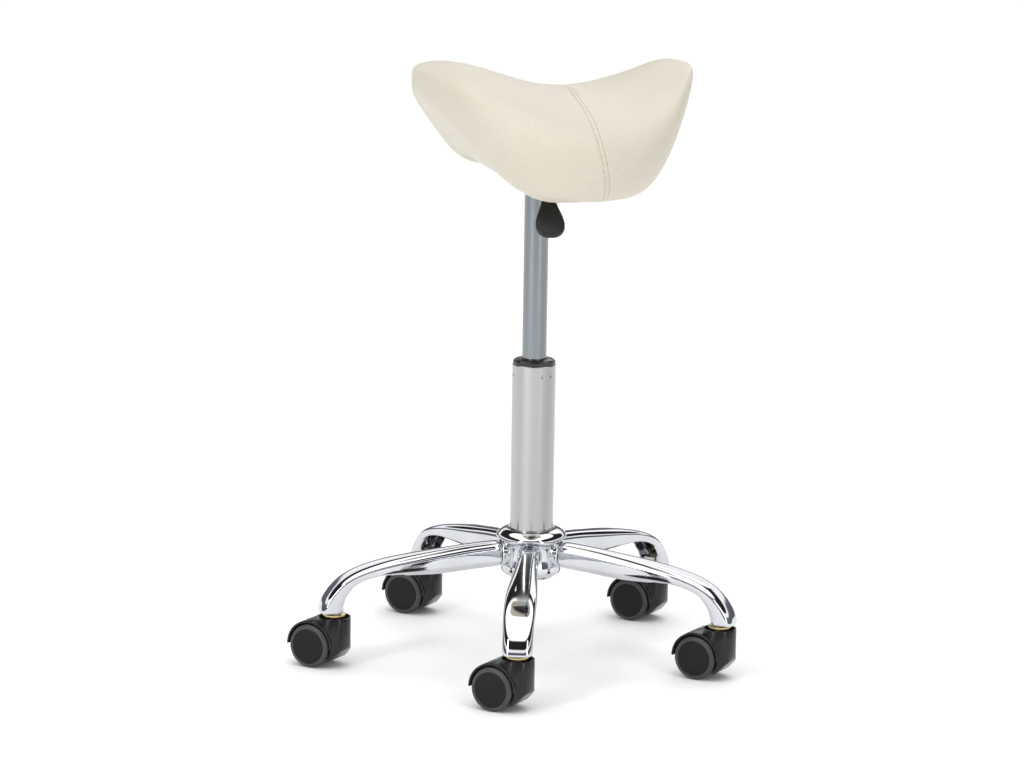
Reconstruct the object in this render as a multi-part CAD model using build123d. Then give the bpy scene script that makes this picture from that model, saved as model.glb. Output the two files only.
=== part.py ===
from build123d import *
from math import atan2, cos, degrees, pi, radians, sin
import os

# Adjustable swivel stool: saddle seat on a gas column, five-star base, twin-wheel casters.
# Millimetres. The origin is on the floor under the column's axis, +Z is up,
# the sitter faces -Y, and the sitter's left is +X.

os.makedirs("parts", exist_ok=True)

# ---- base ----
LEG_COUNT = 5
FIRST_LEG_ANGLE = 90.0
CASTER_CIRCLE_RADIUS = 231.0
LEG_WALL = 2.2
FOOT_BOTTOM_Z = 64.5
# Side view of the leg as (radius, z), and its plan view as (radius, half-width).
LEG_TOP = [
    (29, 139.6),
    (73, 136.3),
    (111, 131.8),
    (157, 125.4),
    (190, 118),
    (214, 109),
    (234.5, 93.5),
    (246.5, 76),
    (250, FOOT_BOTTOM_Z),
]
LEG_LOW = [
    (29, 110.6),
    (73, 107.4),
    (107, 104.2),
    (153, 104.6),
    (184, 103),
    (203, 97.6),
    (214.5, 87.5),
    (221, 74),
    (223, FOOT_BOTTOM_Z),
]
LEG_PLAN = [(29, 11.9), (73, 12.5), (110, 14.3), (155, 17), (190, 18), (225, 17), (243, 12.5), (250.5, 0)]
LEG_EDGE = 7.0
CHANNEL_START_RADIUS = 150.0

HUB_BOTTOM_Z = 99.0
HUB_TOP_Z = 152.0
HUB_LIP_RADIUS = 40.5
HUB_COLLAR_RADIUS = 17.8
HUB_COLLAR_REACH = 37.5
HUB_COLLAR_Z = 124.6

# ---- column ----
TUBE_RADIUS = 25.0
TUBE_BORE = 23.2
TUBE_BOTTOM_Z = 96.0
TUBE_FLOOR = 4.0
TUBE_TOP_Z = 344.5
FLUTE_COUNT = 10
FLUTE_FIRST_ANGLE = 163.7
FLUTE_HEIGHT = 14.0
FLUTE_WIDTH = 2.6
FLUTE_DEPTH = 0.9
CRIMP_Z = 333.0
CRIMP_ANGLES = [188.3, 215.6, 308.3, 335.6, 68.3, 95.6]
BUSH_BOTTOM_Z = 290.0
BUSH_FLANGE_Z = 348.2
BUSH_DOME_Z = 351.5
STROKE = 190.0
CYLINDER_RADIUS = 14.0
CYLINDER_BORE = 12.0
CYLINDER_BOTTOM_Z = 308.0
CYLINDER_SEAL = 6.0
CYLINDER_HEAD = 20.0
CYLINDER_TAPER_Z = 555.5
CYLINDER_TOP_Z = 587.5
CYLINDER_TOP_RADIUS = 13.2
ROD_RADIUS = 5.0
RUNNING_FIT = 0.06
PISTON_Z = 318.0
PISTON_THICKNESS = 8.0
BALL_COUNT = 10
BALL_RADIUS = 2.25
BALL_CIRCLE = 13.0
RACE_THICKNESS = 2.5
PIN_RADIUS = 3.0
PIN_BOTTOM_Z = 577.5
PIN_TRAVEL = 4.5
PIN_TOP_Z = 594.0

# ---- seat ----
SEAT_MIDDLE = 14.0
SEAT_HALF_LENGTH = 158.0
SEAT_HALF_WIDTH = 184.0
SEAT_LOW_Z = 662.0
SEAT_LOW_AT = 42.0
REAR_RISE = 31.0
REAR_RIDGE_AT = 151.0
FRONT_RISE = 28.0
FRONT_RIDGE_AT = 123.0
EDGE_LOW_Z = 573.0
EDGE_RISE = 97.0
EDGE_ROLL = 19.0
SEAT_THICKNESS = 48.0
COVER_THICKNESS = 1.6
BOARD_THICKNESS = 13.0
BOARD_HALF_WIDTH = 150.0
BOARD_HALF_LENGTH = 128.0
SEAM_AT = 34.0
OUTER_ANGLES = [-90, -64, -40, -20, 0, 20, 40, 64, 90]
INNER_ANGLES = [75, 45, 15, -15, -45, -75]
LOFT_STATIONS = [-0.975, -0.9, -0.72, -0.45, -0.15, 0.15, 0.45, 0.72, 0.9, 0.975]
PAD_Z = 606.0
PAD_TOP_Z = 630.0
PAD_LENGTH = 160.0
PAD_WIDTH = 120.0
PLATE_THICKNESS = 2.5
CHANNEL_FLOOR_Z = 581.5
CHANNEL_START = -30.0
CHANNEL_END = 68.0
CHANNEL_WIDTH = 45.0
SCREW_X = 62.0
SCREW_Y = 42.0
SCREW_RADIUS = 3.0
SCREW_TOP_Z = 621.5
SCREW_HEAD = 3.6
NUT_FLANGE = 1.4

# ---- lever: it points to the sitter's right and a little back ----
LEVER_ANGLE = 171.0
LEVER_Z = 598.5
LEVER_RADIUS = 4.0
LEVER_PIVOT_X = 50.0
LEVER_BEND_X = 76.5
LEVER_TIP_X = 160.0
LEVER_TIP_Z = 516.0
PADDLE_LENGTH = 72.0
PADDLE_WIDTH = 33.0
PADDLE_NECK = 14.5
PADDLE_THICKNESS = 11.0
PIVOT_RADIUS = 2.5

# ---- casters ----
TRAIL_ANGLE = 46.5
TRAIL = 21.0
WHEEL_RADIUS = 25.0
RIM_RADIUS = 20.0
WHEEL_INNER_FACE = 5.6
WHEEL_OUTER_FACE = 23.6
COLLAR_RADIUS = 19.0
COLLAR_TOP_Z = 58.7
HOOD_INNER = 27.2
HOOD_OUTER = 29.4
HOOD_HALF_WIDTH = 20.5
WEB_HALF_WIDTH = 4.6
STEM_RADIUS = 5.5
STEM_BOTTOM_Z = 44.5
STEM_TOP_Z = 77.0
SOCKET_RADIUS = 10.5
AXLE_RADIUS = 3.0


def save(node, *shapes):
    """Write one node, which may be a group of separate solids."""
    shape = shapes[0] if len(shapes) == 1 else Compound(children=list(shapes))
    export_step(shape, f"parts/{node}.step")


def turned(points):
    """Solid of revolution about Z from its (radius, height) outline."""
    return revolve(Plane.XZ * make_face(Polyline(*points, close=True)), Axis.Z)


def upright(radius, low_z, high_z):
    """Cylinder on the column's axis between two heights."""
    return Pos(0, 0, (low_z + high_z) / 2) * Cylinder(radius, high_z - low_z)


def drum(radius, low_y, high_y, x=0.0, z=0.0):
    """Cylinder whose axis is parallel to Y."""
    length = high_y - low_y
    return Pos(x, (low_y + high_y) / 2, z) * Rot(90, 0, 0) * Cylinder(radius, length)


def block(low, high):
    """Box between two corners."""
    size = [b - a for a, b in zip(low, high)]
    middle = [(a + b) / 2 for a, b in zip(low, high)]
    return Pos(*middle) * Box(*size)


# ================= legs =================


def leg_outer():
    """Pressed leg: its side view and its plan view cut from one bar, with rounded long edges."""
    top = Spline(*LEG_TOP)
    low = Spline(*LEG_LOW)
    ends = Line(LEG_TOP[0], LEG_LOW[0]) + Line(LEG_TOP[-1], LEG_LOW[-1])
    side_view = extrude(Plane.XZ * make_face(top + low + ends), LEG_TOP[0][1], both=True)
    flank = Spline(*LEG_PLAN, tangents=[(1, 0.02), (0, -1)])
    root = Line(LEG_PLAN[0], (LEG_PLAN[0][0], -LEG_PLAN[0][1]))
    plan_view = extrude(make_face(flank + mirror(flank, Plane.XZ) + root), 200)
    bar = side_view & plan_view
    upper = [edge for edge in bar.edges() if edge.length > 150 and edge.center().Z > 115]
    return fillet(upper, LEG_EDGE)


def leg_hollow(bar):
    """Channel under the outer half of the leg, open at its lower side and at the foot."""
    share = 1 - LEG_WALL / LEG_PLAN[3][1]
    core = Pos(-LEG_WALL, 0, -LEG_WALL) * scale(bar, by=(1, share, 1))
    deeper = Pos(-3.0, 0, -9.0) * scale(bar, by=(1, share, 1))
    reach = block((CHANNEL_START_RADIUS, -30, 0), (300, 30, 150))
    return (core + deeper) & reach


def leg_turn(number):
    return Rot(0, 0, FIRST_LEG_ANGLE + 360.0 / LEG_COUNT * (number - 1))


# ================= hub =================


def hub_core():
    """Turned boss with a rounded lip round the tube and a narrow waist under it."""
    bore = TUBE_RADIUS
    outline = Polyline(
        (bore, HUB_BOTTOM_Z),
        (30.5, HUB_BOTTOM_Z),
        (34.5, 104.0),
        (33.0, 124.0),
        (34.5, 137.0),
    )
    shoulder = (36.5, 149.6)
    lip = Spline((34.5, 137.0), (39.6, 141.0), (HUB_LIP_RADIUS, 145.0), shoulder, (29.5, HUB_TOP_Z))
    rim = Polyline((29.5, HUB_TOP_Z), (26.5, HUB_TOP_Z), (bore, 150.5), (bore, HUB_BOTTOM_Z))
    face = make_face(outline + lip + rim)
    return revolve(Plane.XZ * face, Axis.Z)


def hub_collar():
    """Socket collar that stands out round one leg's root."""
    reach = HUB_COLLAR_REACH
    ring = Pos(reach / 2 + 10, 0, HUB_COLLAR_Z) * Rot(0, 90, 0) * Cylinder(HUB_COLLAR_RADIUS, reach - 20)
    flare = Pos(reach - 0.9, 0, HUB_COLLAR_Z) * Rot(0, 90, 0) * Cylinder(HUB_COLLAR_RADIUS + 1.2, 1.8)
    return ring + flare


def hub(leg):
    body = hub_core()
    for number in range(1, LEG_COUNT + 1):
        body += leg_turn(number) * hub_collar()
    body -= Pos(0, 0, HUB_TOP_Z / 2) * Cylinder(TUBE_RADIUS, HUB_TOP_Z)
    for number in range(1, LEG_COUNT + 1):
        body -= leg_turn(number) * leg
    return body


# ================= column =================


def flute():
    """Wedge-shaped press mark at the foot of the tube, wide at the bottom."""
    base = HUB_TOP_Z - 3.0
    outline = Polyline(
        (-FLUTE_WIDTH / 2, base), (FLUTE_WIDTH / 2, base), (0, HUB_TOP_Z + FLUTE_HEIGHT), close=True
    )
    plane = Plane(origin=(TUBE_RADIUS - FLUTE_DEPTH, 0, 0), x_dir=(0, 1, 0), z_dir=(1, 0, 0))
    return extrude(plane * make_face(outline), FLUTE_DEPTH + 1.0)


def outer_tube():
    floor_top = TUBE_BOTTOM_Z + TUBE_FLOOR
    bore = ROD_RADIUS + RUNNING_FIT
    tube = turned(
        [
            (bore, TUBE_BOTTOM_Z),
            (TUBE_RADIUS, TUBE_BOTTOM_Z),
            (TUBE_RADIUS, TUBE_TOP_Z - 0.6),
            (TUBE_RADIUS - 0.6, TUBE_TOP_Z),
            (TUBE_BORE, TUBE_TOP_Z),
            (TUBE_BORE, floor_top),
            (bore, floor_top),
        ]
    )
    for number in range(FLUTE_COUNT):
        tube -= Rot(0, 0, FLUTE_FIRST_ANGLE + 360.0 / FLUTE_COUNT * number) * flute()
    for angle in CRIMP_ANGLES:
        tube -= Rot(0, 0, angle) * Pos(TUBE_RADIUS + 1.4, 0, CRIMP_Z) * Sphere(2.4)
    return tube


def guide_bush():
    bore = CYLINDER_RADIUS + RUNNING_FIT
    flange = TUBE_RADIUS - 0.7
    return turned(
        [
            (bore, BUSH_BOTTOM_Z),
            (TUBE_BORE, BUSH_BOTTOM_Z),
            (TUBE_BORE, TUBE_TOP_Z),
            (flange, TUBE_TOP_Z),
            (flange, BUSH_FLANGE_Z),
            (flange - 2.2, BUSH_FLANGE_Z + 1.9),
            (17.5, BUSH_DOME_Z),
            (bore, BUSH_DOME_Z),
        ]
    )


def ring(inner, outer, low_z, high_z):
    return turned([(inner, low_z), (outer, low_z), (outer, high_z), (inner, high_z)])


def thrust_cage(low_z, high_z):
    cage = ring(ROD_RADIUS + 3.0, 18.0, low_z, high_z)
    middle = (low_z + high_z) / 2
    for number in range(BALL_COUNT):
        turn = Rot(0, 0, 360.0 / BALL_COUNT * number)
        cage -= turn * Pos(BALL_CIRCLE, 0, middle) * Cylinder(BALL_RADIUS + 0.05, high_z - low_z + 1)
    return cage


def thrust_balls(middle_z):
    ball = Pos(BALL_CIRCLE, 0, middle_z) * Sphere(BALL_RADIUS)
    return [Rot(0, 0, 360.0 / BALL_COUNT * number) * ball for number in range(BALL_COUNT)]


def piston_rod():
    top = PISTON_Z + PISTON_THICKNESS
    return turned(
        [
            (0, 90.0),
            (ROD_RADIUS - 0.8, 90.0),
            (ROD_RADIUS, 90.8),
            (ROD_RADIUS, 92.5),
            (ROD_RADIUS - 1.0, 92.5),
            (ROD_RADIUS - 1.0, 94.2),
            (ROD_RADIUS, 94.2),
            (ROD_RADIUS, PISTON_Z),
            (CYLINDER_BORE - RUNNING_FIT, PISTON_Z),
            (CYLINDER_BORE - RUNNING_FIT, top),
            (0, top),
        ]
    )


def gas_cylinder():
    bottom = CYLINDER_BOTTOM_Z
    rod_hole = ROD_RADIUS + RUNNING_FIT
    pin_hole = PIN_RADIUS + RUNNING_FIT
    shell = turned(
        [
            (0, bottom),
            (CYLINDER_RADIUS - 1.5, bottom),
            (CYLINDER_RADIUS, bottom + 1.5),
            (CYLINDER_RADIUS, CYLINDER_TAPER_Z),
            (CYLINDER_TOP_RADIUS, CYLINDER_TOP_Z),
            (0, CYLINDER_TOP_Z),
        ]
    )
    chamber_low = bottom + CYLINDER_SEAL
    chamber_high = CYLINDER_TOP_Z - CYLINDER_HEAD
    pin_seat = PIN_BOTTOM_Z - PIN_TRAVEL
    shell -= upright(rod_hole, bottom - 1, chamber_low + 1)
    shell -= upright(CYLINDER_BORE, chamber_low, chamber_high)
    return shell - upright(pin_hole, pin_seat, CYLINDER_TOP_Z + 1)


def valve_pin():
    pin = upright(PIN_RADIUS, PIN_BOTTOM_Z, PIN_TOP_Z)
    return chamfer(pin.edges().group_by(Axis.Z)[-1], 0.6)


# ================= seat =================


def seat_width(place):
    """Half-width of the plan outline; place runs from -1 at the rear to 1 at the front."""
    return SEAT_HALF_WIDTH * (1 - abs(place) ** 1.9) ** 0.53 * (1 - 0.1 * place)


def crown_height(forward):
    """Height of the saddle's centre line, lowest a little ahead of the column."""
    if forward < SEAT_LOW_AT:
        share = min(1.0, (SEAT_LOW_AT - forward) / REAR_RIDGE_AT)
        return SEAT_LOW_Z + REAR_RISE * (1 - cos(pi * share)) / 2
    share = min(1.0, (forward - SEAT_LOW_AT) / FRONT_RIDGE_AT)
    return SEAT_LOW_Z + FRONT_RISE * (1 - cos(pi * share)) / 2


def edge_height(place):
    """Height of the widest line of the rim, lowest on the flaps beside the legs."""
    share = max(0.0, (abs(place) - 0.3) / 0.7) ** 1.4
    return EDGE_LOW_Z + EDGE_RISE * (1 - cos(pi * share)) / 2


def seat_section(place, inset):
    """Arched section across the seat: an outer arch, rolled edges and an inner arch."""
    forward = SEAT_MIDDLE + SEAT_HALF_LENGTH * place
    end_slim = (1 - abs(place) ** 8) ** 0.5
    half = seat_width(place) - inset
    edge = edge_height(place)
    crown = crown_height(forward) - (1 - end_slim) * 14.0
    roll = EDGE_ROLL * end_slim
    under_crown = crown - SEAT_THICKNESS * end_slim
    inner_edge = edge - 4.0
    inner_half = max(half - 2 * roll, half * 0.55)
    outer_arch = [arch_point(angle, half, edge, crown - inset) for angle in OUTER_ANGLES]
    under = under_crown + inset
    inner_arch = [arch_point(angle, inner_half, inner_edge, under) for angle in INNER_ANGLES]
    low_z = edge - roll + inset
    outline = [*outer_arch, (half - roll, low_z), *inner_arch, (roll - half, low_z)]
    points = [(x, -forward, z) for x, z in outline]
    return make_face(Spline(*points, periodic=True))


def arch_point(angle, half, low, high):
    """Point of an arch, flatter than an ellipse over its middle; angle 0 is its top."""
    return half * sin(radians(angle)), low + (high - low) * abs(cos(radians(angle))) ** 0.62


def seat_body(inset):
    """Saddle-shaped solid lofted from rear to front, pulled in all round by inset."""
    trim = 1 - inset / SEAT_HALF_LENGTH
    return loft([seat_section(place * trim, inset) for place in LOFT_STATIONS])


def oval_bar(half_width, half_length):
    """Upright oval bar under the seat, which bounds the board in plan."""
    return extrude(Pos(0, -SEAT_MIDDLE, 400) * Ellipse(half_width, half_length), 400)


def lever_side(shape):
    """Turn a piece from the lever's own frame, +X outward, into place."""
    return Rot(0, 0, LEVER_ANGLE) * shape


def board_pad():
    half_x, half_y = PAD_LENGTH / 2, PAD_WIDTH / 2
    return lever_side(block((-half_x, -half_y, PAD_Z), (half_x, half_y, PAD_TOP_Z)))


def screw_places():
    """Corners of the screw pattern in the plate's own frame."""
    return [(x, y) for x in (-SCREW_X, SCREW_X) for y in (-SCREW_Y, SCREW_Y)]


def plate_screws():
    """Hexagon screws that hold the plate against the board."""
    head_top = PAD_Z - PLATE_THICKNESS
    shank = upright(SCREW_RADIUS, head_top, SCREW_TOP_Z)
    head = Pos(0, 0, head_top - SCREW_HEAD) * extrude(RegularPolygon(5.6, 6), SCREW_HEAD)
    return [lever_side(Pos(x, y, 0) * (shank + head)) for x, y in screw_places()]


def tee_nuts():
    """Flanged nuts sunk in the board, one on each screw."""
    barrel = ring(SCREW_RADIUS, SCREW_RADIUS + 1.3, SCREW_TOP_Z - 13, SCREW_TOP_Z)
    flange = ring(SCREW_RADIUS, 3 * SCREW_RADIUS, SCREW_TOP_Z - NUT_FLANGE, SCREW_TOP_Z)
    return [lever_side(Pos(x, y, 0) * (barrel + flange)) for x, y in screw_places()]


def seat_plate(cylinder):
    top = PAD_Z
    sheet = PLATE_THICKNESS
    half_x, half_y = PAD_LENGTH / 2 - 4, PAD_WIDTH / 2 - 4
    half_channel = CHANNEL_WIDTH / 2
    plate = block((-half_x, -half_y, top - sheet), (half_x, half_y, top))
    plate = fillet(plate.edges().filter_by(Axis.Z), 12)
    low_corner = (CHANNEL_START, -half_channel, CHANNEL_FLOOR_Z)
    plate += block(low_corner, (CHANNEL_END, half_channel, top - sheet))
    plate -= block(
        (CHANNEL_START + sheet, sheet - half_channel, CHANNEL_FLOOR_Z + sheet),
        (CHANNEL_END - sheet, half_channel - sheet, top + 1),
    )
    plate -= block((CHANNEL_END - 6, -7.5, CHANNEL_FLOOR_Z + sheet + 3), (half_x + 1, 7.5, top + 1))
    plate += ring(CYLINDER_TOP_RADIUS - 1, 17.5, CYLINDER_TAPER_Z - 2, CHANNEL_FLOOR_Z + 1)
    for x, y in screw_places():
        plate -= Pos(x, y, top) * Cylinder(SCREW_RADIUS + 0.4, 8)
    plate -= drum(PIVOT_RADIUS, -half_channel - 1, half_channel + 1, LEVER_PIVOT_X, LEVER_Z)
    plate = lever_side(plate) - cylinder
    return plate - upright(CYLINDER_TOP_RADIUS - 1, CYLINDER_TAPER_Z, CYLINDER_TOP_Z)


# ================= lever =================


def lever_slope():
    """Direction of the drooping half of the lever, from the bend to the tip."""
    run, fall = LEVER_TIP_X - LEVER_BEND_X, LEVER_TIP_Z - LEVER_Z
    length = (run**2 + fall**2) ** 0.5
    return run / length, fall / length


def lever_rod():
    run, fall = lever_slope()
    reach = PADDLE_LENGTH - 52.0
    end = (LEVER_TIP_X - run * (PADDLE_LENGTH - reach), 0, LEVER_TIP_Z - fall * (PADDLE_LENGTH - reach))
    path = FilletPolyline((-7, 0, LEVER_Z), (LEVER_BEND_X, 0, LEVER_Z), end, radius=10)
    bar = sweep(Plane(origin=(-7, 0, LEVER_Z), z_dir=(1, 0, 0)) * Circle(LEVER_RADIUS), path)
    boss = drum(6.5, -9, 9, LEVER_PIVOT_X, LEVER_Z)
    bore = drum(PIVOT_RADIUS + RUNNING_FIT, -12, 12, LEVER_PIVOT_X, LEVER_Z)
    return bar + boss - bore


def paddle():
    """Flat grip: narrow neck, widest near its rounded end."""
    half, neck = PADDLE_WIDTH / 2, PADDLE_NECK / 2
    side = Spline(
        (0, neck),
        (22, neck + 0.6),
        (38, 12.5),
        (PADDLE_LENGTH - 19, half),
        (PADDLE_LENGTH - 5, 11.0),
        (PADDLE_LENGTH, 0),
        tangents=[(1, 0), (0, -1)],
    )
    outline = make_face(side + mirror(side, Plane.XZ) + Line((0, neck), (0, -neck)))
    grip = extrude(outline, PADDLE_THICKNESS / 2, both=True)
    grip = fillet(grip.edges().group_by(Axis.Z)[0] + grip.edges().group_by(Axis.Z)[-1], 4.0)
    run, fall = lever_slope()
    start = (LEVER_TIP_X - run * PADDLE_LENGTH, 0, LEVER_TIP_Z - fall * PADDLE_LENGTH)
    return Pos(*start) * Rot(0, degrees(atan2(-fall, run)), 0) * grip


# ================= casters =================


def caster_place(shape, number):
    """Put a piece from the caster's own frame, +X trailing, under leg number."""
    angle = FIRST_LEG_ANGLE + 360.0 / LEG_COUNT * (number - 1)
    x = CASTER_CIRCLE_RADIUS * cos(radians(angle))
    y = CASTER_CIRCLE_RADIUS * sin(radians(angle))
    return Pos(x, y, 0) * Rot(0, 0, TRAIL_ANGLE) * shape


def caster_housing():
    axle = (TRAIL, WHEEL_RADIUS)
    top = COLLAR_TOP_Z
    side = Polyline(
        (-19.5, top), (-19.5, 29), (-16.5, 22.5), (-3, 9), (6, 7), (22, 7), (22, top), close=True
    )
    slab = extrude(Plane.XZ * make_face(side), 25, both=True)
    body = slab & Pos(0, 0, COLLAR_TOP_Z / 2) * Cylinder(COLLAR_RADIUS, COLLAR_TOP_Z)
    hood = drum(HOOD_OUTER, -HOOD_HALF_WIDTH, HOOD_HALF_WIDTH, *axle)
    hood -= block((-20, -30, -20), (60, 30, WHEEL_RADIUS))
    body += hood
    for sign in (-1, 1):
        low, high = sorted((sign * WEB_HALF_WIDTH, sign * 30))
        body -= drum(HOOD_INNER, low, high, *axle)
    web = drum(HOOD_INNER + 1, -WEB_HALF_WIDTH, WEB_HALF_WIDTH, *axle)
    web -= block((-20, -30, -20), (60, 30, WHEEL_RADIUS))
    body += web
    body += drum(14.0, -WEB_HALF_WIDTH, WEB_HALF_WIDTH, *axle)
    body -= Pos(0, 0, COLLAR_TOP_Z) * ring(9.0, COLLAR_RADIUS - 1.8, -4.5, 5.0)
    body -= Pos(0, 0, COLLAR_TOP_Z) * ring(0, 9.0, -1.8, 5.0)
    body -= upright(STEM_RADIUS + RUNNING_FIT, STEM_BOTTOM_Z - 0.5, COLLAR_TOP_Z + 1)
    return body - drum(AXLE_RADIUS, -10, 10, *axle)


def wheel_turned(points, sign):
    """Turn a wheel piece from its (radius, offset along the axle) outline."""
    face = make_face(Polyline(*points, close=True))
    piece = revolve(Plane.XZ * face, Axis.Z)
    return Pos(TRAIL, 0, WHEEL_RADIUS) * Rot(-90 * sign, 0, 0) * piece


def wheel_rim(sign):
    bore = AXLE_RADIUS + RUNNING_FIT
    face = WHEEL_OUTER_FACE
    return wheel_turned(
        [
            (bore, WHEEL_INNER_FACE),
            (7.0, WHEEL_INNER_FACE),
            (7.0, face - 4.5),
            (17.5, face - 4.5),
            (17.5, WHEEL_INNER_FACE + 1.0),
            (RIM_RADIUS, WHEEL_INNER_FACE + 1.0),
            (RIM_RADIUS, face - 1.0),
            (RIM_RADIUS - 0.7, face),
            (11.0, face + 0.5),
            (0, face + 0.7),
            (0, face - 1.6),
            (bore, face - 1.6),
        ],
        sign,
    )


def wheel_tyre(sign):
    low, high = WHEEL_INNER_FACE + 0.4, WHEEL_OUTER_FACE - 0.6
    flank = Line((RIM_RADIUS, low), (22.4, low))
    inner_shoulder = RadiusArc((22.4, low), (WHEEL_RADIUS, low + 2.6), -2.6)
    tread = Line((WHEEL_RADIUS, low + 2.6), (WHEEL_RADIUS, high - 3.6))
    outer_shoulder = RadiusArc((WHEEL_RADIUS, high - 3.6), (21.4, high), -3.6)
    close = Polyline((21.4, high), (RIM_RADIUS, high), (RIM_RADIUS, low))
    face = make_face(flank + inner_shoulder + tread + outer_shoulder + close)
    piece = revolve(Plane.XZ * face, Axis.Z)
    return Pos(TRAIL, 0, WHEEL_RADIUS) * Rot(-90 * sign, 0, 0) * piece


def caster_stem():
    """Plated stem: a shoulder above the caster's collar, and a slim end for the grip ring."""
    return turned(
        [
            (0, STEM_BOTTOM_Z),
            (STEM_RADIUS, STEM_BOTTOM_Z),
            (STEM_RADIUS, 59.6),
            (12.6, 59.6),
            (13.0, 60.2),
            (13.0, 62.0),
            (10.0, 63.0),
            (STEM_RADIUS - 0.5, 63.0),
            (STEM_RADIUS - 0.5, STEM_TOP_Z - 1),
            (STEM_RADIUS - 1.5, STEM_TOP_Z),
            (0, STEM_TOP_Z),
        ]
    )


def caster_socket(hollow):
    """Socket and cross plate that fill the width of the foot's channel."""
    centre = CASTER_CIRCLE_RADIUS
    low, high = 63.0, 78.5
    tube = Pos(centre, 0, (low + high) / 2) * Cylinder(SOCKET_RADIUS, high - low)
    plate = block((centre - 5, -18, 66.0), (centre + 5, 18, 76.0))
    socket = (tube + plate) & hollow
    return socket - Pos(centre, 0, 70) * Cylinder(STEM_RADIUS, 40)


# ================= assembly =================

outer = leg_outer()
hollow = leg_hollow(outer)
leg_solid = outer - hollow
for number in range(1, LEG_COUNT + 1):
    save(f"leg_{number}", leg_turn(number) * leg_solid)

save("hub", hub(outer))
socket = caster_socket(hollow)
save("caster_sockets", *[leg_turn(number) * socket for number in range(1, LEG_COUNT + 1)])
grip = ring(STEM_RADIUS - 0.5, STEM_RADIUS, 65.0, 74.0)
stems = []
for number in range(1, LEG_COUNT + 1):
    stems.append(caster_place(caster_stem(), number))
    stems.append(caster_place(grip, number))
save("caster_stems", *stems)

floor_top = TUBE_BOTTOM_Z + TUBE_FLOOR
ball_low = floor_top + RACE_THICKNESS + 0.04
ball_high = ball_low + 2 * BALL_RADIUS
upper_race_z = ball_high + 0.04
damper_z = upper_race_z + RACE_THICKNESS
save("outer_tube", outer_tube())
save("top_guide_bush", guide_bush())
save("thrust_race_lower", ring(ROD_RADIUS + 1.0, 19.0, floor_top, floor_top + RACE_THICKNESS))
save("thrust_cage", thrust_cage(ball_low + 0.9, ball_high - 0.9))
save("thrust_balls", *thrust_balls((ball_low + ball_high) / 2))
save("thrust_race_upper", ring(ROD_RADIUS, 19.0, upper_race_z, damper_z))
save("damper_ring", ring(ROD_RADIUS, 16.0, damper_z, CYLINDER_BOTTOM_Z - STROKE - 0.4))
save("retaining_clip", ring(ROD_RADIUS - 1.0, 9.0, 92.6, 94.1))
save("piston_rod", piston_rod())
cylinder = gas_cylinder()
save("gas_cylinder", cylinder)
save("valve_pin", valve_pin())

cushion = seat_body(0.0)
filling = seat_body(COVER_THICKNESS)
board_drop = BOARD_THICKNESS - SEAT_THICKNESS
board_space = oval_bar(BOARD_HALF_WIDTH, BOARD_HALF_LENGTH) & Pos(0, 0, board_drop) * cushion
pad = board_pad()
skin = cushion - filling - pad
front_half = block((-250, -300, 400), (250, -SEAM_AT, 800))
screws = plate_screws()
nuts = tee_nuts()
board = (board_space & filling) + pad
for piece in (*screws, *nuts):
    board -= piece
save("seat_board", board)
save("seat_foam", filling - board_space - pad)
save("front_cover", skin & front_half)
save("rear_cover", skin - front_half)
save("plate_screws", *screws)
save("tee_nuts", *nuts)
save("seat_plate", seat_plate(cylinder))

rod = lever_rod()
pivot = drum(PIVOT_RADIUS, -CHANNEL_WIDTH / 2 - 1.5, CHANNEL_WIDTH / 2 + 1.5, LEVER_PIVOT_X, LEVER_Z)
save("lever_pin", lever_side(pivot))
save("lever_rod", lever_side(rod))
save("lever_paddle", lever_side(paddle() - rod))

housing = caster_housing()
axle = drum(AXLE_RADIUS, -20, 20, TRAIL, WHEEL_RADIUS)
for number in range(1, LEG_COUNT + 1):
    save(f"caster_{number}_housing", caster_place(housing, number))
    save(f"caster_{number}_axle", caster_place(axle, number))
    for side, sign in (("left", 1), ("right", -1)):
        save(f"caster_{number}_{side}_rim", caster_place(wheel_rim(sign), number))
        save(f"caster_{number}_{side}_tyre", caster_place(wheel_tyre(sign), number))
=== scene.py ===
# %% [markdown]
# # Adjustable saddle stool
# A saddle-shaped seat in cream synthetic leather stands on a gas column, and a chromed
# five-star base with twin-wheel casters carries it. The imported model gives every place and
# every moving body. This lesson adds what is seen: the sewn cushion, the pressed legs, the
# hub, the lever's grip, the bevelled casters and a finish for every surface.

# %% Load the frame
import math

import bmesh
import bpy
import numpy as np
from mathutils import Matrix, Vector


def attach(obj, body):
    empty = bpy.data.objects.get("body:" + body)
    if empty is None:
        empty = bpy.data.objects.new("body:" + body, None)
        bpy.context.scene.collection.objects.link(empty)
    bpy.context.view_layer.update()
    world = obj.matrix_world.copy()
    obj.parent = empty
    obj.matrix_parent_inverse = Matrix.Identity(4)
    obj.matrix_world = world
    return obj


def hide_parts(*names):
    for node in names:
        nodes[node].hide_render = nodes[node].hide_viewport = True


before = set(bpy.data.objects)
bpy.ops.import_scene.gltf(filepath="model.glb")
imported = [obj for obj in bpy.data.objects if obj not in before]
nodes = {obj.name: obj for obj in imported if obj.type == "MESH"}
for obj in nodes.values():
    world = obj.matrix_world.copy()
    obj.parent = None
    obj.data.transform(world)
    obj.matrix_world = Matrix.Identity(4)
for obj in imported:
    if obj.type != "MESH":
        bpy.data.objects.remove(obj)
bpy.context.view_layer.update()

MM = 0.001
LEG_COUNT = 5
FIRST_LEG_ANGLE = 90.0

# %% [markdown]
# ## Working by hand, in code
# Operators act on whatever is selected, so each piece starts with nothing selected. A
# finished piece gets its name, its finish and the body it moves with in one place.

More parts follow.
